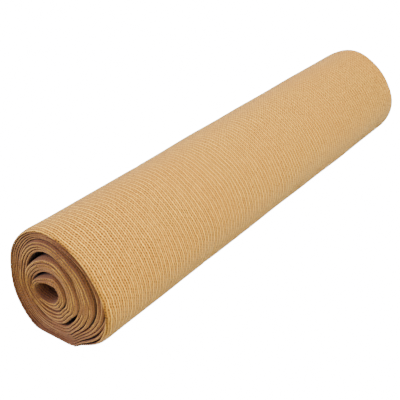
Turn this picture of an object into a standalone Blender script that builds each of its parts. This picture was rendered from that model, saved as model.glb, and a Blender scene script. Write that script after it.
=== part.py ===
"""Rolled shade net: knitted shade cloth, folded lengthwise and rolled up, lying on its side.

Row frame: +Y along the roll's axis, from the near end to the far end, +Z up.
The origin is under the middle of the roll, on the surface it lies on.
One solid holds the wound form: a spiral of main twists around an open centre hollow.
"""
import math

import bmesh
import bpy

# Driving sizes, in metres.
ROLL_RADIUS = 0.0505
ROLL_LENGTH = 0.4620
FOLD_BEVEL = 0.0016
FLAT_SPOT_DEPTH = 0.0003
MAX_BAND = 0.016

# Driving sizes as shares of the roll's radius.
HOLLOW_CENTRE_X = -0.150
HOLLOW_CENTRE_Z = -0.030
HOLLOW_HALF_WIDTH = 0.205
HOLLOW_HALF_HEIGHT = 0.125
REST_LEVEL = 0.890
SETTLE_FROM = 0.86
SETTLE_LEVEL = 1.02
TWIST_GAP = 0.018

# The wind: one turn is a full circle, clockwise seen from the near end.
TWISTS = 5.675
STEPS_PER_TURN = 32
START_ANGLE = 180.0

# Outline of the roll, a row for each direction (degrees from +X towards +Z).
OUTLINE = (
    # direction, radius share
    (0.0, 1.010),
    (30.0, 0.958),
    (60.0, 0.948),
    (90.0, 0.998),
    (120.0, 1.000),
    (150.0, 0.979),
    (180.0, 0.945),
    (210.0, 1.000),
    (240.0, 1.055),
    (270.0, 1.040),
    (284.0, 0.985),
    (300.0, 0.905),
    (330.0, 0.975),
)

# How far out of the hollow each twist has climbed, a row for each full turn.
CLIMB = (
    # turn, share of the way from the hollow to the outline
    (0.0, 0.000),
    (1.0, 0.165),
    (2.0, 0.350),
    (3.0, 0.560),
    (4.0, 0.715),
    (5.0, 0.840),
    (6.0, 0.960),
    (7.0, 1.080),
)
OUTLINE_TURN = TWISTS + 0.5

# Where the twists have slipped apart, a row for each air pocket between two twists.
POCKETS = (
    # turn at its middle, half span in turns, width as a share of the radius
    (0.13, 0.17, 0.060),
    (0.52, 0.32, 0.024),
    (1.16, 0.13, 0.105),
    (1.67, 0.09, 0.060),
    (1.86, 0.14, 0.055),
    (2.40, 0.20, 0.016),
    (3.61, 0.15, 0.040),
    (4.54, 0.16, 0.022),
)

# How the turns crowd and loosen around the roll, a row for each wave.
CROWDING = (
    # waves around the roll, direction of the loosest turns in wind degrees, share
    (1, 40.0, 0.050),
    (2, 80.0, 0.045),
)

# How far each twist stands out of the roll's ends, a row for each wave along the wind.
STAGGER = (
    # waves per turn, phase in turns, near-end metres, far-end metres
    (0.31, 0.10, 0.0011, 0.0009),
    (1.00, 0.39, 0.0012, 0.0006),
    (0.73, 0.55, 0.0008, 0.0012),
)

# Cross-sections along the roll, a row for each.
STATIONS = (
    # share of the length from the middle, radius factor
    (-0.500, 0.992),
    (-0.470, 1.000),
    (-0.300, 1.004),
    (-0.100, 0.998),
    (0.120, 1.002),
    (0.320, 0.997),
    (0.470, 1.000),
    (0.500, 0.992),
)

CLOTH_COLOUR = (0.56, 0.36, 0.17, 1.0)
CLOTH_ROUGHNESS = 0.85


def smooth_table(rows, x):
    """Value at x of a smooth curve through (x, value) rows, level with its neighbours' slope."""
    last = len(rows) - 2
    index = 0
    while index < last and x > rows[index + 1][0]:
        index += 1
    x0, y0 = rows[index][:2]
    x1, y1 = rows[index + 1][:2]
    before = rows[max(index - 1, 0)]
    after = rows[min(index + 2, last + 1)]
    slope0 = (y1 - before[1]) / (x1 - before[0])
    slope1 = (after[1] - y0) / (after[0] - x0)
    span = x1 - x0
    t = (x - x0) / span
    return (
        y0 * (1.0 + 2.0 * t) * (1.0 - t) ** 2
        + slope0 * span * t * (1.0 - t) ** 2
        + y1 * t * t * (3.0 - 2.0 * t)
        + slope1 * span * t * t * (t - 1.0)
    )


def outline_radius(direction):
    """Radius share of the roll's outside in a direction in degrees."""
    angle = direction % 360.0
    rows = [(row[0] - 360.0, row[1]) for row in OUTLINE[-3:]]
    rows += list(OUTLINE)
    rows += [(row[0] + 360.0, row[1]) for row in OUTLINE[:3]]
    return smooth_table(rows, angle)


def hollow_radius(direction):
    """Radius share of the oval centre hollow in a direction in degrees."""
    ux = math.cos(math.radians(direction))
    uz = math.sin(math.radians(direction))
    a2 = HOLLOW_HALF_WIDTH ** 2
    b2 = HOLLOW_HALF_HEIGHT ** 2
    qa = ux * ux / a2 + uz * uz / b2
    qb = ux * HOLLOW_CENTRE_X / a2 + uz * HOLLOW_CENTRE_Z / b2
    qc = HOLLOW_CENTRE_X ** 2 / a2 + HOLLOW_CENTRE_Z ** 2 / b2 - 1.0
    return (qb + math.sqrt(qb * qb - qa * qc)) / qa


def hump(distance):
    """Rounded hump, 1 at its middle and 0 from distance 1 outwards."""
    if abs(distance) >= 1.0:
        return 0.0
    return 0.5 + 0.5 * math.cos(math.pi * distance)


def pocket_push(turn, under):
    """Air, as a share of the radius, in the pockets that a surface at this turn lies outside of.

    With under set, it is all the air in this direction, whatever the turn.
    """
    push = 0.0
    for middle, half_span, width in POCKETS:
        nearest = turn - middle
        away = nearest - round(nearest)
        if under or nearest > 0.5:
            push += width * hump(away / half_span)
    return push


def climb_radius(turn, outside):
    """Radius share of a twist's inner or outer face at this turn of the wind."""
    wind_degrees = 360.0 * turn
    direction = START_ANGLE - wind_degrees
    inner = hollow_radius(direction)
    outer = flattened(outline_radius(direction), direction)
    if outside:
        climbed = smooth_table(CLIMB, turn + 1.0) - TWIST_GAP
    else:
        climbed = smooth_table(CLIMB, turn)
    pushed = climbed + pocket_push(turn, False)
    whole = smooth_table(CLIMB, OUTLINE_TURN) + pocket_push(turn, True)
    share = pushed / whole
    for waves, loosest, size in CROWDING:
        swell = math.sin(math.pi * min(max(share, 0.0), 1.0))
        share += size * swell * math.cos(math.radians(waves * (wind_degrees - loosest)))
    return inner + (outer - inner) * share


def flattened(radius, direction):
    """Outline radius share after the roll's own weight has pressed its underside level."""
    down = -math.sin(math.radians(direction))
    if down <= 0.0:
        return radius
    depth = radius * down
    over = depth - SETTLE_FROM
    if over <= 0.0:
        return radius
    room = SETTLE_LEVEL - SETTLE_FROM
    return (SETTLE_FROM + room * math.tanh(over / room)) / down


def face_point(turn, outside, factor):
    """Point (x, z) in metres on the inner or outer face of the band at this turn."""
    share = climb_radius(turn, outside) * factor
    direction = math.radians(START_ANGLE - 360.0 * turn)
    x = share * math.cos(direction)
    z = max(share * math.sin(direction), -REST_LEVEL)
    return ROLL_RADIUS * x, ROLL_RADIUS * z


def end_stagger(turn, near):
    """How far this turn's edge stands out of the roll's end, in metres."""
    total = 0.0
    for waves, phase, near_size, far_size in STAGGER:
        size = near_size if near else far_size
        total += size * math.sin(2.0 * math.pi * (waves * turn + phase))
    return total


def station_y(turn, share):
    """Position along the roll of a cross-section's point."""
    y = ROLL_LENGTH * share
    reach = max(0.0, abs(share) * 2.0 - 0.8) / 0.2
    if share < 0.0:
        return y - reach * end_stagger(turn, True)
    return y + reach * end_stagger(turn, False)


def make_material(name, colour, roughness):
    """Plain Principled material."""
    material = bpy.data.materials.new(name)
    material.use_nodes = True
    shader = material.node_tree.nodes["Principled BSDF"]
    shader.inputs["Base Color"].default_value = colour
    shader.inputs["Roughness"].default_value = roughness
    return material


def make_band(name, collection, material):
    """Spiral band of cloth as an open surface, thickened and rounded at its folds."""
    mesh = bpy.data.meshes.new(name)
    obj = bpy.data.objects.new(name, mesh)
    collection.objects.link(obj)
    mesh.materials.append(material)
    bm = bmesh.new()
    layer = bm.verts.layers.deform.verify()
    group = obj.vertex_groups.new(name="thickness")
    columns = int(round(TWISTS * STEPS_PER_TURN))
    rows = []
    for step in range(columns + 1):
        turn = TWISTS * step / columns
        row = []
        for share, factor in STATIONS:
            inner = face_point(turn, False, factor)
            outer = face_point(turn, True, factor)
            middle = ((inner[0] + outer[0]) / 2.0, (inner[1] + outer[1]) / 2.0)
            vert = bm.verts.new((middle[0], station_y(turn, share), middle[1]))
            vert[layer][group.index] = math.dist(inner, outer) / MAX_BAND
            row.append(vert)
        rows.append(row)
    for here, there in zip(rows, rows[1:]):
        for low, high in zip(range(len(here) - 1), range(1, len(here))):
            bm.faces.new((here[low], here[high], there[high], there[low]))
    square_to_face(bm, layer, group.index, rows)
    bm.to_mesh(mesh)
    bm.free()
    shell = obj.modifiers.new("cloth thickness", "SOLIDIFY")
    shell.thickness = MAX_BAND
    shell.offset = 0.0
    shell.vertex_group = "thickness"
    rounding = obj.modifiers.new("fold rounding", "BEVEL")
    rounding.width = FOLD_BEVEL
    rounding.segments = 2
    rounding.limit_method = "ANGLE"
    rounding.angle_limit = math.radians(60.0)
    return obj


def square_to_face(bm, layer, index, rows):
    """Measure the thickness square to the band, not along the radius."""
    bm.normal_update()
    for row in rows:
        for vert in row:
            radial = math.hypot(vert.co.x, vert.co.z)
            across = (vert.co.x * vert.normal.x + vert.co.z * vert.normal.z) / radial
            vert[layer][index] *= abs(across)


def settle_on_floor(obj):
    """Centre the finished roll in X and Y and sink it by the depth of its flat spot."""
    graph = bpy.context.evaluated_depsgraph_get()
    shape = obj.evaluated_get(graph).to_mesh()
    lows = [min(vert.co[axis] for vert in shape.vertices) for axis in range(3)]
    highs = [max(vert.co[axis] for vert in shape.vertices) for axis in range(3)]
    shift_x = -(lows[0] + highs[0]) / 2.0
    shift_y = -(lows[1] + highs[1]) / 2.0
    shift_z = -lows[2] - FLAT_SPOT_DEPTH
    for vert in obj.data.vertices:
        vert.co.x += shift_x
        vert.co.y += shift_y
        vert.co.z += shift_z


def cut_flat_spot(obj, collection):
    """Level the underside at z = 0 with a block that stands for the floor."""
    size = (3.0 * ROLL_RADIUS, 1.2 * ROLL_LENGTH, ROLL_RADIUS)
    mesh = bpy.data.meshes.new("floor_block")
    block = bpy.data.objects.new("floor_block", mesh)
    collection.objects.link(block)
    bm = bmesh.new()
    bmesh.ops.create_cube(bm, size=1.0)
    bmesh.ops.scale(bm, vec=size, verts=bm.verts)
    bmesh.ops.translate(bm, vec=(0.0, 0.0, -size[2] / 2.0), verts=bm.verts)
    bm.to_mesh(mesh)
    bm.free()
    block.hide_render = True
    block.display_type = "WIRE"
    cut = obj.modifiers.new("flat spot", "BOOLEAN")
    cut.operation = "DIFFERENCE"
    cut.solver = "EXACT"
    cut.object = block


for old in list(bpy.data.objects):
    bpy.data.objects.remove(old)

roll_parts = bpy.data.collections.new("shade_net_roll")
cutters = bpy.data.collections.new("cutters")
bpy.context.scene.collection.children.link(roll_parts)
bpy.context.scene.collection.children.link(cutters)
cloth = make_material("shade_cloth", CLOTH_COLOUR, CLOTH_ROUGHNESS)
roll = make_band("net_roll", roll_parts, cloth)
bpy.context.view_layer.update()
settle_on_floor(roll)
cut_flat_spot(roll, cutters)
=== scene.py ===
"""Looks of the rolled shade net: one knitted cloth, folded in four and rolled up, on a pale floor.

The cloth is built in its real path. It runs across the strip in four layers, with a fold loop
at the near end and a fold and two selvedges at the far end, and along the strip in a spiral
from the inner end out to the tail. Its u and v are real metres along and across the cloth.
"""

import math

import bpy
import numpy as np
from mathutils import Matrix, Vector


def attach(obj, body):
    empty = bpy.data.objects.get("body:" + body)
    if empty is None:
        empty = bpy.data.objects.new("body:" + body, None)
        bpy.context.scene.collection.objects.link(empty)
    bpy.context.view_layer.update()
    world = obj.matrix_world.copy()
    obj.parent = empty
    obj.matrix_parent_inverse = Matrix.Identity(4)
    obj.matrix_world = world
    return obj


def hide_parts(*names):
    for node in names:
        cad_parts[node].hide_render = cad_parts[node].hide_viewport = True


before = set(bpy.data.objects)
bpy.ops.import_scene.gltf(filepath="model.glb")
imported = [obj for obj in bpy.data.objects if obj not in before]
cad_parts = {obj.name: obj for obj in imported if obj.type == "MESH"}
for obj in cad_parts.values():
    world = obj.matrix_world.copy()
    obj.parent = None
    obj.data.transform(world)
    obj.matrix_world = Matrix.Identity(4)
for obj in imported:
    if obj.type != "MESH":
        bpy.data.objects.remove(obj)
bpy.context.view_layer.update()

# Sizes in metres, as in the part's source.
ROLL_RADIUS = 0.0505
ROLL_LENGTH = 0.4620
# The cloth lies this little above the floor, so that the two never share a surface.
FLOOR_GAP = 0.0002

# Shares of the roll's radius.
HOLLOW_CENTRE = (-0.150, -0.030)
HOLLOW_HALF = (0.205, 0.125)
REST_LEVEL = 0.890
SETTLE_FROM = 0.86
SETTLE_LEVEL = 1.02
FLOOR_SOFTNESS = 0.035

# The wind: one turn is a full circle, clockwise seen from the near end. Its climb reaches the
# outline at OUTLINE_TURN. TURN_GAP is a share of the way from the hollow to the outline.
TURNS = 15.695
OUTLINE_TURN = TURNS + 0.5
TURN_GAP = 0.002
STEPS_PER_TURN = 60
START_ANGLE = 180.0

OUTLINE = np.array(
    [
        # direction in degrees, radius share
        (0.0, 1.010),
        (30.0, 0.958),
        (60.0, 0.948),
        (90.0, 0.998),
        (120.0, 1.000),
        (150.0, 0.979),
        (180.0, 0.945),
        (210.0, 1.000),
        (240.0, 1.055),
        (270.0, 1.040),
        (284.0, 0.985),
        (300.0, 0.905),
        (330.0, 0.975),
    ]
)
CLIMB = np.array(
    [
        # turn, share of the way from the hollow to the outline
        (0.0, 0.000),
        (1.0, 0.067),
        (3.0, 0.195),
        (5.0, 0.325),
        (7.0, 0.462),
        (9.0, 0.595),
        (11.0, 0.720),
        (13.0, 0.832),
        (15.0, 0.940),
        (17.0, 1.048),
    ]
)
POCKETS = np.array(
    [
        # turn at its middle, half span in turns, width as a share of the radius
        (0.30, 0.20, 0.010),
        (2.13, 0.18, 0.070),
        (2.52, 0.34, 0.034),
        (2.90, 0.30, 0.016),
        (4.34, 0.22, 0.010),
        (6.16, 0.14, 0.120),
        (6.38, 0.07, 0.028),
        (6.50, 0.40, 0.010),
        (6.67, 0.10, 0.070),
        (6.88, 0.12, 0.060),
        (6.98, 0.06, 0.030),
        (8.30, 0.22, 0.012),
        (9.62, 0.14, 0.014),
        (10.52, 0.15, 0.030),
        (10.30, 0.45, 0.010),
        (10.95, 0.20, 0.012),
        (12.05, 0.14, 0.012),
        (13.22, 0.20, 0.014),
        (13.60, 0.10, 0.026),
        (14.20, 0.16, 0.010),
        (14.62, 0.09, 0.020),
    ]
)
CROWDING = (
    # waves around, degrees of wind where the turns lie loosest, swell as a share
    (1, 40.0, 0.050),
    (2, 80.0, 0.045),
)


# ---------------------------------------------------------------- the wind
def smooth_table(rows, x):
    """Values at x of a smooth (cubic Hermite) curve through (x, value) rows."""
    xs, ys = rows[:, 0], rows[:, 1]
    slopes = np.empty(len(xs))
    slopes[1:-1] = (ys[2:] - ys[:-2]) / (xs[2:] - xs[:-2])
    slopes[0] = (ys[1] - ys[0]) / (xs[1] - xs[0])
    slopes[-1] = (ys[-1] - ys[-2]) / (xs[-1] - xs[-2])
    i = np.clip(np.searchsorted(xs, x, side="right") - 1, 0, len(xs) - 2)
    span = xs[i + 1] - xs[i]
    t = (x - xs[i]) / span
    return (
        ys[i] * (1 + 2 * t) * (1 - t) ** 2
        + slopes[i] * span * t * (1 - t) ** 2
        + ys[i + 1] * t * t * (3 - 2 * t)
        + slopes[i + 1] * span * t * t * (t - 1)
    )


def outline_radius(direction):
    """Radius share of the roll's outside in a direction in degrees."""
    around = np.concatenate([OUTLINE - (360.0, 0.0), OUTLINE, OUTLINE + (360.0, 0.0)])
    return smooth_table(around, direction % 360.0)


def hollow_radius(direction):
    """Radius share of the oval hollow, which lies off the roll's middle."""
    ux, uz = np.cos(np.radians(direction)), np.sin(np.radians(direction))
    (cx, cz), (a, b) = HOLLOW_CENTRE, HOLLOW_HALF
    qa = (ux / a) ** 2 + (uz / b) ** 2
    qb = ux * cx / a**2 + uz * cz / b**2
    qc = (cx / a) ** 2 + (cz / b) ** 2 - 1.0
    return (qb + np.sqrt(qb * qb - qa * qc)) / qa


def hump(x):
    """Smooth bump: 1 at 0, falling to 0 at -1 and 1."""
    return np.where(np.abs(x) < 1.0, 0.5 + 0.5 * np.cos(np.pi * x), 0.0)


def pocket_push(turn, everything):
    """Room that pockets take in a turn's direction: all of them, or only those wound before it."""
    push = np.zeros_like(turn)
    for middle, half_span, width in POCKETS:
        past = turn - middle
        part = width * hump((past - np.round(past)) / half_span)
        push += part if everything else np.where(past > 0.5, part, 0.0)
    return push


def flattened(radius, direction):
    """Radius share with the underside pressed softly towards a flat."""
    down = -np.sin(np.radians(direction))
    safe = np.maximum(down, 1e-6)
    over = radius * safe - SETTLE_FROM
    room = SETTLE_LEVEL - SETTLE_FROM
    pressed = (SETTLE_FROM + room * np.tanh(over / room)) / safe
    return np.where((down > 0) & (over > 0), pressed, radius)


def face_radius(turn, outside):
    """Radius share of the strip's inner or outer face at a turn of the wind."""
    wind = 360.0 * turn
    direction = START_ANGLE - wind
    inner = hollow_radius(direction)
    outer = flattened(outline_radius(direction), direction)
    climbed = smooth_table(CLIMB, turn + 1.0) - TURN_GAP if outside else smooth_table(CLIMB, turn)
    whole = smooth_table(CLIMB, np.full_like(turn, OUTLINE_TURN)) + pocket_push(turn, True)
    share = (climbed + pocket_push(turn, False)) / whole
    for around, loosest, size in CROWDING:
        swell = np.sin(np.pi * np.clip(share, 0.0, 1.0))
        share = share + size * swell * np.cos(np.radians(around * (wind - loosest)))
    return inner + (outer - inner) * share


# ---------------------------------------------------------------- the path across the strip
# Depth of each of the four layers in the strip, from its inner face at 0 to its outer at 1.
LAYER = (0.030, 0.345, 0.655, 0.970)
# How far folds reach and how far inner folds and selvedges stand back, in metres.
NEAR_LOOP_DEPTH = 0.0017
INNER_LOOP_DEPTH = 0.0008
INNER_LOOP_BACK = 0.0010
FAR_FOLD_DEPTH = 0.0013
SELVEDGE_BACK = (0.0010, 0.0024)
# Shares of the way from the near end to the far end.
END_STEPS = (0.0, 0.005, 0.011, 0.020, 0.034, 0.054)
CREASE_PLACE = 0.275
CREASE_HALF = 0.012
FOLD_SHARE = 0.040
FAR_SHARE = 0.960
# Rows of points. A leg is one layer's way from end to end.
LEG_ROWS = 8
OUTER_LEG_ROWS = 30
NEAR_LOOP_ROWS = 11
INNER_LOOP_ROWS = 3
FAR_LOOP_ROWS = 5
CREASE_ROWS = 7


def leg(offset, near_in, far_in, count, towards_near=False):
    """Rows of one flat layer: share of the way to the far end, metres in from each end, depth."""
    ends = [*END_STEPS, *(1.0 - np.array(END_STEPS))]
    crease = CREASE_PLACE + CREASE_HALF * np.linspace(-1.0, 1.0, CREASE_ROWS)
    shares = np.unique(np.round([*np.linspace(0.0, 1.0, count), *ends, *crease], 4))
    if towards_near:
        shares = shares[::-1]
    return [(share, near_in, far_in, offset) for share in shares]


def loop(share, centre, half, depth, back, count):
    """Rows of a fold at the near end (share 0) or the far end (share 1): a half round.

    Its depth in the strip goes from centre - half to centre + half.
    """
    rows = []
    for k in range(1, count + 1):
        turn = math.pi * k / (count + 1)
        inwards = back + depth * (1.0 - math.sin(turn))
        near_in, far_in = (0.0, inwards) if share else (inwards, 0.0)
        rows.append((share, near_in, far_in, centre - half * math.cos(turn)))
    return rows


def strip_path():
    """The cloth's whole way across the strip, from one selvedge to the other, with row names."""
    inner_near = INNER_LOOP_BACK + INNER_LOOP_DEPTH
    fold_middle = (LAYER[3] + LAYER[2]) / 2
    fold_half = (LAYER[3] - LAYER[2]) / 2
    outer_half = (LAYER[3] - LAYER[0]) / 2
    inner_half = (LAYER[2] - LAYER[1]) / 2
    parts = [
        ("leg1", leg(LAYER[0], NEAR_LOOP_DEPTH, SELVEDGE_BACK[0], LEG_ROWS, towards_near=True)),
        ("near_loop", loop(0.0, 0.5, outer_half, NEAR_LOOP_DEPTH, 0.0, NEAR_LOOP_ROWS)),
        ("leg4", leg(LAYER[3], NEAR_LOOP_DEPTH, FAR_FOLD_DEPTH, OUTER_LEG_ROWS)),
        ("far_loop", loop(1.0, fold_middle, -fold_half, FAR_FOLD_DEPTH, 0.0, FAR_LOOP_ROWS)),
        ("leg3", leg(LAYER[2], inner_near, FAR_FOLD_DEPTH, LEG_ROWS, towards_near=True)),
        (
            "inner_loop",
            loop(0.0, 0.5, -inner_half, INNER_LOOP_DEPTH, INNER_LOOP_BACK, INNER_LOOP_ROWS),
        ),
        ("leg2", leg(LAYER[1], inner_near, SELVEDGE_BACK[1], LEG_ROWS)),
    ]
    names = [name for name, rows in parts for _ in rows]
    return np.array([row for _, rows in parts for row in rows]), np.array(names)


# ---------------------------------------------------------------- the whole cloth
# How far the strip's edges stand out of the roll's ends.
NEAR_WAVES = (
    # waves per turn, phase in radians, metres
    (1.00, 2.4, 0.0005),
    (0.73, 3.4, 0.0003),
    (3.10, 1.0, 0.0002),
    (7.30, 0.2, 0.0001),
)
NEAR_STEPS = np.array(
    [
        # turn, metres out
        (0.0, 0.0004),
        (1.0, 0.0020),
        (2.4, 0.0020),
        (3.0, 0.0000),
        (4.5, 0.0012),
        (6.4, 0.0010),
        (7.0, -0.0012),
        (9.0, -0.0004),
        (10.3, -0.0008),
        (11.0, -0.0026),
        (12.6, -0.0026),
        (13.6, -0.0020),
        (14.4, -0.0010),
        (15.0, -0.0004),
        (16.0, -0.0004),
    ]
)
NEAR_DIP = (
    # turn, half span in turns, metres in
    (13.42, 0.26, 0.0060),
    (14.40, 0.26, 0.0050),
    (12.40, 0.20, 0.0036),
    (11.42, 0.16, 0.0020),
)
FAR_WAVES = (
    # waves per turn, phase in radians, metres
    (0.27, 1.6, 0.0009),
    (1.00, 0.7, 0.0016),
    (0.66, 2.0, 0.0008),
    (2.70, 0.3, 0.0004),
)
RIPPLES = (
    # waves around, waves along the roll, phase in radians, share of the radius
    (3, 1.4, 0.7, 0.0038),
    (5, -2.7, 2.1, 0.0028),
    (2, 4.9, 0.0, 0.0020),
    (7, 6.3, 1.1, 0.0013),
)
# The strip closes up at its inner end (nose) and thins towards its outer end (tail), over these
# turns and to these shares of its thickness.
NOSE_TURNS = 0.05
NOSE_SHARE = 0.15
TAIL_TURNS = 0.11
TAIL_SHARE = 0.30
# Both ends of the roll turn in over the last SHOULDER metres, by shares of the radius.
SHOULDER = 0.0075
SHOULDER_LIMIT = 1.3
SHOULDER_DROP = 0.030
FAR_SHOULDER_DROP = 0.008
# The near end bulges on one side: share of the radius, degrees, degrees and metres.
SLUMP = 0.040
SLUMP_DIRECTION = 185.0
SLUMP_SPAN = 85.0
SLUMP_REACH = 0.030
# A faint crease runs round the outermost turns, deepest below and on the outer layer: share of
# the radius, turns before the tail, turns to fade in, share left on the innermost layer, radians.
CREASE_DEPTH = 0.020
CREASE_TURNS = 1.10
CREASE_FADE = 0.15
CREASE_INNERMOST = 0.1
CREASE_LEAN = 0.5


def waves(turn, table):
    """Sum of sine waves along the wind."""
    wind = 2 * np.pi * turn
    return sum(size * np.sin(rate * wind + phase) for rate, phase, size in table)


def layer_depth(turn, offset):
    """Depth of the layers in the strip, drawn together at the nose and at the tail."""
    nose = np.clip(turn / NOSE_TURNS, 0.0, 1.0)
    nose = np.sqrt(1.0 - (1.0 - nose) ** 2)[:, None]
    depth = 0.5 + (offset - 0.5) * (NOSE_SHARE + (1.0 - NOSE_SHARE) * nose)
    to_tail = np.clip((TURNS - turn) / TAIL_TURNS, 0.0, 1.0)[:, None]
    return depth * (TAIL_SHARE + (1.0 - TAIL_SHARE) * to_tail)


def along_roll(turn, share, near_in, far_in):
    """y of every point, between strip edges that stand out of the roll's ends by a little."""
    dip = sum(size * hump((turn - middle) / span) for middle, span, size in NEAR_DIP)
    near_out = waves(turn, NEAR_WAVES) + smooth_table(NEAR_STEPS, turn) - dip
    near = -ROLL_LENGTH / 2 - near_out[:, None]
    far = ROLL_LENGTH / 2 + waves(turn, FAR_WAVES)[:, None]
    return (near + near_in) * (1 - share) + (far - far_in) * share


def slack_radius(radius, turn, offset, y):
    """Radius share with the shoulders, the slump at the near end, the ripples and the crease."""
    direction = START_ANGLE - 360.0 * turn
    angle = np.radians(direction)[:, None]
    from_end = ROLL_LENGTH / 2 - np.abs(y)
    shoulder = np.clip(1.0 - from_end / SHOULDER, 0.0, SHOULDER_LIMIT)
    drop = np.where(y < 0.0, SHOULDER_DROP, FAR_SHOULDER_DROP)
    radius = radius * (1.0 - drop * shoulder**2)
    away = (direction - SLUMP_DIRECTION + 180.0) % 360.0 - 180.0
    slump = hump(away / SLUMP_SPAN)[:, None] * hump((y + ROLL_LENGTH / 2) / SLUMP_REACH)
    radius = radius * (1.0 + SLUMP * slump * radius)
    ripple = sum(
        size * np.sin(around * angle + 2 * np.pi * along * y / ROLL_LENGTH + phase)
        for around, along, phase, size in RIPPLES
    )
    crease = hump((y / ROLL_LENGTH + 0.5 - CREASE_PLACE) / CREASE_HALF)
    outermost = np.clip((turn - TURNS + CREASE_TURNS) / CREASE_FADE, 0.0, 1.0)[:, None]
    crease = crease * outermost * (CREASE_INNERMOST + (1.0 - CREASE_INNERMOST) * offset)
    underside = 0.5 - 0.5 * np.sin(angle + CREASE_LEAN)
    ripple = ripple - CREASE_DEPTH * crease * underside
    return radius * (1.0 + ripple * np.clip(radius, 0, 1) ** 2)


def lengths(points):
    """Running length along a line of points, from 0."""
    steps = np.linalg.norm(np.diff(points, axis=0), axis=1)
    return np.concatenate([[0.0], np.cumsum(steps)])


def make_cloth():
    """Grid of points along the wind and across the strip, with u and v in metres.

    u is 0 at the tail and v is 0 in the outermost fold at the near end.
    """
    path, names = strip_path()
    columns = int(round(TURNS * STEPS_PER_TURN)) + 1
    turn = np.arange(columns) / STEPS_PER_TURN
    angle = np.radians(START_ANGLE - 360.0 * turn)
    inner, outer = face_radius(turn, False), face_radius(turn, True)
    thick = (outer - inner)[:, None]
    share, near_in, far_in, offset = (path[:, k][None, :] for k in range(4))
    y = along_roll(turn, share, near_in, far_in)
    radius = inner[:, None] + thick * layer_depth(turn, offset)
    radius = slack_radius(radius, turn, offset, y)
    x = ROLL_RADIUS * radius * np.cos(angle)[:, None]
    lowest = (1.0 - offset) * thick - REST_LEVEL
    above = radius * np.sin(angle)[:, None] - lowest
    above = (above + np.sqrt(above**2 + FLOOR_SOFTNESS**2)) / 2
    z = ROLL_RADIUS * (lowest + above)
    points = np.stack([x, y, z], -1)
    middle = ROLL_RADIUS * (inner + outer) / 2
    u = lengths(np.stack([middle * np.cos(angle), middle * np.sin(angle)], -1))
    steps = np.linalg.norm(np.diff(points, axis=1), axis=2).mean(0)
    v = np.concatenate([[0.0], np.cumsum(steps)])
    apex = np.argmax(np.where(names == "near_loop", -path[:, 1], -1.0))
    centre_x, centre_y = (x.min() + x.max()) / 2, (y.min() + y.max()) / 2
    points -= (centre_x, centre_y, z.min() - FLOOR_GAP)
    return points, u - u[-1], v - v[apex], path, names


# ---------------------------------------------------------------- pieces of the one cloth
# Margins of the flat layout, as shares of a strip's height and of the unit square's width.
STRIP_MARGIN = 0.03
SIDE_MARGIN = 0.004


def flat_layout(i, j, v, strip_columns):
    """Corners of quads in the unit square, cut into strips of columns one above the other."""
    rows, row = np.unique(j, return_inverse=True)
    ends = np.cumsum(v[rows + 1] - v[rows])
    above = (ends / ends[-1])[row]
    below = (np.concatenate([[0.0], ends[:-1]]) / ends[-1])[row]
    strip, step = np.divmod(i - i.min(), strip_columns)
    strips = strip.max() + 1
    left, right = step / strip_columns, (step + 1) / strip_columns
    low = (strip + STRIP_MARGIN + (1 - 2 * STRIP_MARGIN) * below) / strips
    high = (strip + STRIP_MARGIN + (1 - 2 * STRIP_MARGIN) * above) / strips
    flat_x = SIDE_MARGIN + (1 - 2 * SIDE_MARGIN) * np.stack([left, right, right, left], -1)
    return np.stack([flat_x, np.stack([low, low, high, high], -1)], -1)


def cut_piece(name, cloth, quads_kept, strip_columns):
    """Piece of the cloth's grid with two maps, from a table of the quads that it keeps.

    The map Cloth is in metres along and across the cloth. OFBake is the piece's flat layout.
    Quads wind so that the cloth's outer side faces out.
    """
    points, u, v = cloth[:3]
    width = points.shape[1]
    i, j = np.nonzero(quads_kept)
    corner_i = np.stack([i, i + 1, i + 1, i], -1)
    corner_j = np.stack([j, j, j + 1, j + 1], -1)
    used, quads = np.unique(corner_i * width + corner_j, return_inverse=True)
    mesh = bpy.data.meshes.new(name)
    mesh.from_pydata(points.reshape(-1, 3)[used].tolist(), [], quads.reshape(-1, 4).tolist())
    metres = np.stack([u[corner_i], v[corner_j]], -1)
    layout = flat_layout(i, j, v, strip_columns)
    for map_name, places in (("Cloth", metres), ("OFBake", layout)):
        layer = mesh.uv_layers.new(name=map_name)
        layer.uv.foreach_set("vector", places.astype(np.float32).ravel())
    mesh.uv_layers["Cloth"].active_render = True
    mesh.shade_smooth()
    mesh.update()
    obj = bpy.data.objects.new(name, mesh)
    bpy.context.scene.collection.objects.link(obj)
    return obj


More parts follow.
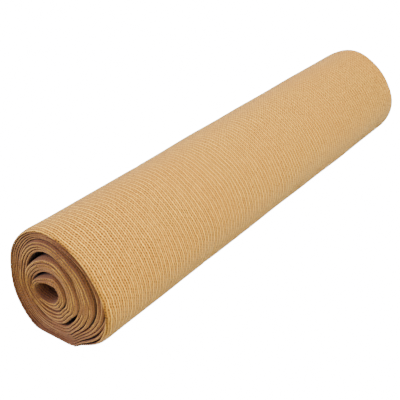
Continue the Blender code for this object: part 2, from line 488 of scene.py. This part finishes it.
# ---------------------------------------------------------------- materials
class Graph:
    """Small helper that adds nodes to a material.

    Its values are numbers or output sockets, and its methods return the new node's output.
    """

    def __init__(self, name):
        self.material = bpy.data.materials.new(name)
        self.material.use_nodes = True
        self.tree = self.material.node_tree
        self.shader = self.tree.nodes["Principled BSDF"]

    def node(self, kind):
        return self.tree.nodes.new(kind)

    def put(self, socket, value):
        if hasattr(value, "links"):
            self.tree.links.new(value, socket)
        else:
            socket.default_value = value

    def math(self, operation, a, b=0.0, clamp=False):
        node = self.node("ShaderNodeMath")
        node.operation = operation
        node.use_clamp = clamp
        self.put(node.inputs[0], a)
        self.put(node.inputs[1], b)
        return node.outputs[0]

    def times(self, *values):
        result = values[0]
        for value in values[1:]:
            result = self.math("MULTIPLY", result, value)
        return result

    def ramp(self, value, low, high, out_low=0.0, out_high=1.0, kind="SMOOTHSTEP"):
        node = self.node("ShaderNodeMapRange")
        node.interpolation_type = kind
        self.put(node.inputs["Value"], value)
        node.inputs["From Min"].default_value = low
        node.inputs["From Max"].default_value = high
        node.inputs["To Min"].default_value = out_low
        node.inputs["To Max"].default_value = out_high
        return node.outputs[0]

    def mix(self, factor, a, b):
        node = self.node("ShaderNodeMix")
        node.data_type = "RGBA"
        self.put(node.inputs["Factor"], factor)
        self.put(node.inputs["A"], a)
        self.put(node.inputs["B"], b)
        return node.outputs["Result"]

    def wave(self, turns, phase=0.0):
        """Cosine of a number of turns, from 0 to 1, 1 at whole turns."""
        turned = self.math("ADD", turns, phase)
        cosine = self.math("COSINE", self.math("MULTIPLY", turned, 2 * math.pi))
        return self.math("ADD", self.math("MULTIPLY", cosine, 0.5), 0.5)

    def split(self, vector):
        """First two parts of a vector."""
        node = self.node("ShaderNodeSeparateXYZ")
        self.put(node.inputs[0], vector)
        return node.outputs[0], node.outputs[1]

    def noise(self, vector, scale, detail):
        node = self.node("ShaderNodeTexNoise")
        self.put(node.inputs["Vector"], vector)
        node.inputs["Scale"].default_value = scale
        node.inputs["Detail"].default_value = detail
        return node.outputs[0]


RIB_COLOUR = (1.00, 0.655, 0.14, 1.0)
CHAIN_COLOUR = (0.75, 0.36, 0.050, 1.0)
FILL_COLOUR = (0.47, 0.194, 0.026, 1.0)
DEEP_COLOUR = (0.060, 0.025, 0.009, 1.0)
# Painted shade: this colour dulls and darkens the end folds and the gaps, which lie in shade.
PAINTED_SHADE_COLOUR = (0.45, 0.235, 0.130, 1.0)
# Painted shade: this colour, nearly black, stands for the deep shade between the turns.
PAINTED_DEEP_SHADE_COLOUR = (0.060, 0.022, 0.020, 1.0)

# The knit's pitches in metres, noise scales per metre and how far rows wander, in pitches.
RIB_PITCH = 0.00415
STITCH_PITCH = 0.0023
WANDER_SCALE, WANDER_RIBS = 22.0, 1.7
WOBBLE_SCALE, WOBBLE_RIBS, WOBBLE_STITCHES = 160.0, 0.50, 0.9
FINE_SCALE = 420.0
PATCH_SCALE = 14.0
# The ribs lean more and more towards the far end, over the last metres of cloth before the tail.
LEAN = 0.15
LEAN_FROM, LEAN_TO = -0.170, 0.170
LEANING_LENGTH = 0.20

# Ramps of the knit: input from and to and, where they aren't 0 and 1, output from and to.
CHAIN_RAMP = (0.60, 0.97)
BEAD_RAMP = (0.72, 0.97)
BEAD_STITCH_RAMP = (0.10, 0.80, 0.25, 1.0)
DOT_RAMP = (0.74, 0.97)
DOT_STITCH_RAMP = (0.20, 0.85, 0.30, 1.0)
COLUMN_RAMP = (0.08, 0.60)
DASH_RAMP = (0.06, 0.62)
LIGHT_GRAIN_RAMP = (0.70, 0.35, 0.60, 1.0)
DASH_GRAIN_RAMP = (0.30, 0.60, 0.45, 1.0)
PATCH_RAMP = (0.35, 0.70, 0.0, 0.20)
CHAIN_COVER = 0.75
DOT_LIGHT = 0.52

# Painted shade, where the cloth lies in shade. Ambient occlusion is 1 in the open and 0 deep in a
# gap, and the ramp of the painted end shade runs over metres from the roll's middle.
SHADE_REACH = 0.030
SHADE_SAMPLES = 8
PAINTED_END_SHADE_RAMP = (0.2190, 0.2230, 0.0, 0.74)
PAINTED_END_SHADE_OCCLUSION_RAMP = (0.99, 0.86)
PAINTED_GAP_SHADE_RAMP = (0.62, 0.40, 0.0, 0.62)
# Ramp of the painted deep shade between the turns, from ambient occlusion.
PAINTED_DEEP_SHADE_RAMP = (0.34, 0.05, 0.0, 0.96)
# The outside of the last turn stays bright at the ends, free of the painted end shade: by metres
# along the cloth the first ramp is 1 on all turns inside it, and by metres across it the others
# are 1 on its own end folds.
INNER_TURNS_RAMP = (-0.31, -0.32)
NEAR_EDGE_RAMP = (0.006, 0.003)
FAR_EDGE_RAMP = (0.463, 0.466)

BUMP_HEIGHT = 0.0004
BUMP_STRENGTH = 0.7
CHAIN_HEIGHT, LIGHT_HEIGHT, DASH_HEIGHT = 0.6, 0.5, 0.5
FINISH = {
    "Roughness": 0.60,
    "Specular IOR Level": 0.12,
    "Sheen Weight": 0.15,
    "Sheen Roughness": 0.5,
}


def knit_counts(g, u, v, coords, along):
    """Counts of stitches along the cloth and of ribs across it, both a little uneven."""
    wander = g.math("SUBTRACT", g.noise(coords, WANDER_SCALE, 1.0), 0.5)
    wobble = g.math("SUBTRACT", g.noise(coords, WOBBLE_SCALE, 2.0), 0.5)
    stitches = g.math("MULTIPLY", u, 1.0 / STITCH_PITCH)
    stitches = g.math("ADD", stitches, g.times(wobble, WOBBLE_STITCHES))
    lean = g.ramp(along, LEAN_FROM, LEAN_TO, 0.0, LEAN, "LINEAR")
    lean = g.times(lean, g.math("MAXIMUM", u, -LEANING_LENGTH))
    ribs = g.math("MULTIPLY", g.math("SUBTRACT", v, lean), 1.0 / RIB_PITCH)
    uneven = g.math("ADD", g.times(wander, WANDER_RIBS), g.times(wobble, WOBBLE_RIBS))
    return stitches, g.math("ADD", ribs, uneven)


def knit_pattern(g, stitches, ribs, coords):
    """Colour and height: chain ribs of beads, dots midway, slanting dark dashes between them."""
    rib_wave = g.wave(ribs)
    chain = g.ramp(rib_wave, *CHAIN_RAMP)
    bead = g.times(g.ramp(rib_wave, *BEAD_RAMP), g.ramp(g.wave(stitches), *BEAD_STITCH_RAMP))
    dots = g.ramp(g.wave(ribs, 0.5), *DOT_RAMP)
    dots = g.times(dots, g.ramp(g.wave(stitches, 0.5), *DOT_STITCH_RAMP))
    columns = g.ramp(g.wave(g.times(ribs, 2.0), 0.5), *COLUMN_RAMP)
    slant = g.math("SUBTRACT", stitches, ribs)
    dashes = g.times(columns, g.ramp(g.wave(slant), *DASH_RAMP))
    fine = g.noise(coords, FINE_SCALE, 1.0)
    light = g.math("ADD", bead, g.times(dots, DOT_LIGHT), clamp=True)
    light = g.times(light, g.ramp(fine, *LIGHT_GRAIN_RAMP))

    colour = g.mix(g.times(chain, CHAIN_COVER), FILL_COLOUR, CHAIN_COLOUR)
    colour = g.mix(light, colour, RIB_COLOUR)
    colour = g.mix(g.times(dashes, g.ramp(fine, *DASH_GRAIN_RAMP)), colour, DEEP_COLOUR)
    patch = g.ramp(g.noise(coords, PATCH_SCALE, 3.0), *PATCH_RAMP)
    colour = g.mix(patch, colour, FILL_COLOUR)

    height = g.math("ADD", g.times(chain, CHAIN_HEIGHT), g.times(light, LIGHT_HEIGHT))
    return colour, g.math("SUBTRACT", height, g.times(dashes, DASH_HEIGHT))


def painted_shade(g, colour, u, v, along):
    """Painted shade: colour darkened and dulled on the end folds and in gaps, and nearly black
    deep between the turns.
    """
    occlusion = g.node("ShaderNodeAmbientOcclusion")
    occlusion.samples = SHADE_SAMPLES
    occlusion.inputs["Distance"].default_value = SHADE_REACH
    open_air = occlusion.outputs["AO"]
    painted_shade_mask = g.ramp(g.math("ABSOLUTE", along), *PAINTED_END_SHADE_RAMP)
    painted_shade_mask = g.times(painted_shade_mask, g.ramp(open_air, *PAINTED_END_SHADE_OCCLUSION_RAMP))
    edges = g.math("MAXIMUM", g.ramp(v, *NEAR_EDGE_RAMP), g.ramp(v, *FAR_EDGE_RAMP))
    painted_shade_mask = g.times(painted_shade_mask, g.math("MAXIMUM", g.ramp(u, *INNER_TURNS_RAMP), edges))
    painted_shade_mask = g.math("MAXIMUM", painted_shade_mask, g.ramp(open_air, *PAINTED_GAP_SHADE_RAMP))
    # Painted shade on the end folds and in gaps.
    colour = g.mix(painted_shade_mask, colour, PAINTED_SHADE_COLOUR)
    # Painted shade, nearly black, deep between the turns.
    return g.mix(g.ramp(open_air, *PAINTED_DEEP_SHADE_RAMP), colour, PAINTED_DEEP_SHADE_COLOUR)


def knit_material(name):
    """Raschel-knitted shade cloth, its ribs along u, with painted shade on its end folds and
    between its turns.
    """
    g = Graph(name)
    uv = g.node("ShaderNodeUVMap")
    uv.uv_map = "Cloth"
    u, v = g.split(uv.outputs[0])
    coords = g.node("ShaderNodeTexCoord").outputs["Object"]
    along = g.split(coords)[1]
    stitches, ribs = knit_counts(g, u, v, coords, along)
    colour, height = knit_pattern(g, stitches, ribs, coords)
    # The base colour carries the painted shade.
    g.put(g.shader.inputs["Base Color"], painted_shade(g, colour, u, v, along))
    bump = g.node("ShaderNodeBump")
    bump.inputs["Strength"].default_value = BUMP_STRENGTH
    bump.inputs["Distance"].default_value = BUMP_HEIGHT
    g.put(bump.inputs["Height"], height)
    g.put(g.shader.inputs["Normal"], bump.outputs[0])
    for setting, value in FINISH.items():
        g.shader.inputs[setting].default_value = value
    return g.material


# ---------------------------------------------------------------- build
# Turns that the outer wrap covers, back from the tail.
WRAP_TURNS = 1.05


def shared_quads(path, names, columns):
    """Tables of the quads of the inner layers, the outer wrap and the folds at each end."""
    middle = (path[:-1, 0] + path[1:, 0]) / 2
    inside = np.isin(names[:-1], ("leg2", "leg3", "inner_loop")) & (middle < 0.5)
    near = (middle < FOLD_SHARE) & ~inside
    far = middle > FAR_SHARE
    outermost = np.arange(columns) >= columns - int(WRAP_TURNS * STEPS_PER_TURN)
    outer_leg = (names[:-1] == "leg4") & (names[1:] == "leg4") & ~near & ~far
    wrap = outermost[:, None] & outer_leg
    near_folds = np.repeat(near[None, :], columns, 0)
    far_folds = np.repeat(far[None, :], columns, 0)
    return ~(wrap | near_folds | far_folds), wrap, near_folds, far_folds


def build_cloth():
    """The whole cloth, cut into an outer wrap, the folds at each end and the layers inside."""
    cloth = make_cloth()
    columns = len(cloth[1]) - 1
    layers, wrap, near_folds, far_folds = shared_quads(*cloth[3:], columns)
    wrap_columns = np.count_nonzero(wrap.any(axis=1))
    knit = knit_material("shade_knit")
    pieces = [
        cut_piece("cloth_layers", cloth, layers, columns),
        cut_piece("outer_wrap", cloth, wrap, wrap_columns),
        cut_piece("near_folds", cloth, near_folds, STEPS_PER_TURN),
        cut_piece("far_folds", cloth, far_folds, STEPS_PER_TURN),
    ]
    for piece in pieces:
        piece.data.materials.append(knit)
        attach(piece, "root")
        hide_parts("net_roll")


# ---------------------------------------------------------------- floor, light and camera
FLOOR_HALF = 4.0
FLOOR_COLOUR = (0.62, 0.66, 0.70, 1.0)
WHITE_GLOW = 16.0
SOFT_COLOUR = (1.00, 0.84, 1.10, 1.0)
SOFT_STRENGTH = 0.37
LIGHTS = (
    # name, place, aim, side of the square, watts, colour
    ("key", (0.40, -0.02, 0.95), (0, -0.08, 0.05), 0.42, 26.0, (1.0, 0.91, 0.42)),
    ("front", (-1.2, -1.35, 0.6), (0, 0, 0.05), 1.2, 13.0, (1.0, 0.86, 1.00)),
    ("back", (-1.2, 0.9, 0.9), (0, 0, 0.05), 1.4, 9.0, (1.0, 0.95, 0.78)),
)


def make_floor():
    """Pale floor that the camera sees as plain white."""
    mesh = bpy.data.meshes.new("floor")
    signs = ((-1, -1), (1, -1), (1, 1), (-1, 1))
    corners = [(across * FLOOR_HALF, along * FLOOR_HALF, 0) for across, along in signs]
    mesh.from_pydata(corners, [], [(0, 1, 2, 3)])
    floor = bpy.data.objects.new("floor", mesh)
    bpy.context.scene.collection.objects.link(floor)
    g = Graph("floor_white")
    g.shader.inputs["Base Color"].default_value = FLOOR_COLOUR
    g.shader.inputs["Roughness"].default_value = 0.9
    g.shader.inputs["Specular IOR Level"].default_value = 0.0
    seen = g.node("ShaderNodeLightPath").outputs["Is Camera Ray"]
    glow = g.node("ShaderNodeEmission")
    g.put(glow.inputs["Strength"], g.math("MULTIPLY", seen, WHITE_GLOW))
    total = g.node("ShaderNodeAddShader")
    g.put(total.inputs[0], g.shader.outputs[0])
    g.put(total.inputs[1], glow.outputs[0])
    g.put(g.tree.nodes["Material Output"].inputs["Surface"], total.outputs[0])
    mesh.materials.append(g.material)


def make_light(name, place, target, size, energy, colour):
    """Square lamp that faces its target."""
    data = bpy.data.lights.new(name, "AREA")
    data.shape = "SQUARE"
    data.size = size
    data.energy = energy
    data.color = colour
    light = bpy.data.objects.new(name, data)
    light.location = place
    aim = Vector(target) - Vector(place)
    light.rotation_euler = aim.to_track_quat("-Z", "Y").to_euler()
    bpy.context.scene.collection.objects.link(light)


def make_world():
    """Soft light from all round, seen itself as plain white."""
    world = bpy.data.worlds.new("studio")
    bpy.context.scene.world = world
    world.use_nodes = True
    tree = world.node_tree
    soft = tree.nodes["Background"]
    soft.inputs["Color"].default_value = SOFT_COLOUR
    soft.inputs["Strength"].default_value = SOFT_STRENGTH
    white = tree.nodes.new("ShaderNodeBackground")
    white.inputs["Color"].default_value = (1.0, 1.0, 1.0, 1.0)
    white.inputs["Strength"].default_value = WHITE_GLOW
    choice = tree.nodes.new("ShaderNodeMixShader")
    seen = tree.nodes.new("ShaderNodeLightPath").outputs["Is Camera Ray"]
    tree.links.new(seen, choice.inputs[0])
    tree.links.new(soft.outputs[0], choice.inputs[1])
    tree.links.new(white.outputs[0], choice.inputs[2])
    tree.links.new(choice.outputs[0], tree.nodes["World Output"].inputs["Surface"])


# Camera angles in degrees, lens and sensor in millimetres, place in metres.
CAMERA_AZIMUTH = 36.548
CAMERA_ELEVATION = 30.398
CAMERA_LENS = 70.82
CAMERA_SENSOR = 36.0
CAMERA_PLACE = (0.3546, -0.5354, 0.3910)


def make_camera():
    """The photo's own view, found by matching the roll's outline."""
    azimuth, elevation = math.radians(CAMERA_AZIMUTH), math.radians(CAMERA_ELEVATION)
    back = Vector(
        (
            math.sin(azimuth) * math.cos(elevation),
            -math.cos(azimuth) * math.cos(elevation),
            math.sin(elevation),
        )
    )
    right = Vector((math.cos(azimuth), math.sin(azimuth), 0.0))
    up = back.cross(right)
    data = bpy.data.cameras.new("camera")
    data.sensor_width = CAMERA_SENSOR
    data.lens = CAMERA_LENS
    data.clip_start = 0.01
    camera = bpy.data.objects.new("camera", data)
    camera.location = CAMERA_PLACE
    camera.rotation_euler = Matrix((right, up, back)).transposed().to_euler()
    bpy.context.scene.collection.objects.link(camera)
    bpy.context.scene.camera = camera


build_cloth()
make_floor()
for light in LIGHTS:
    make_light(*light)
make_world()
make_camera()
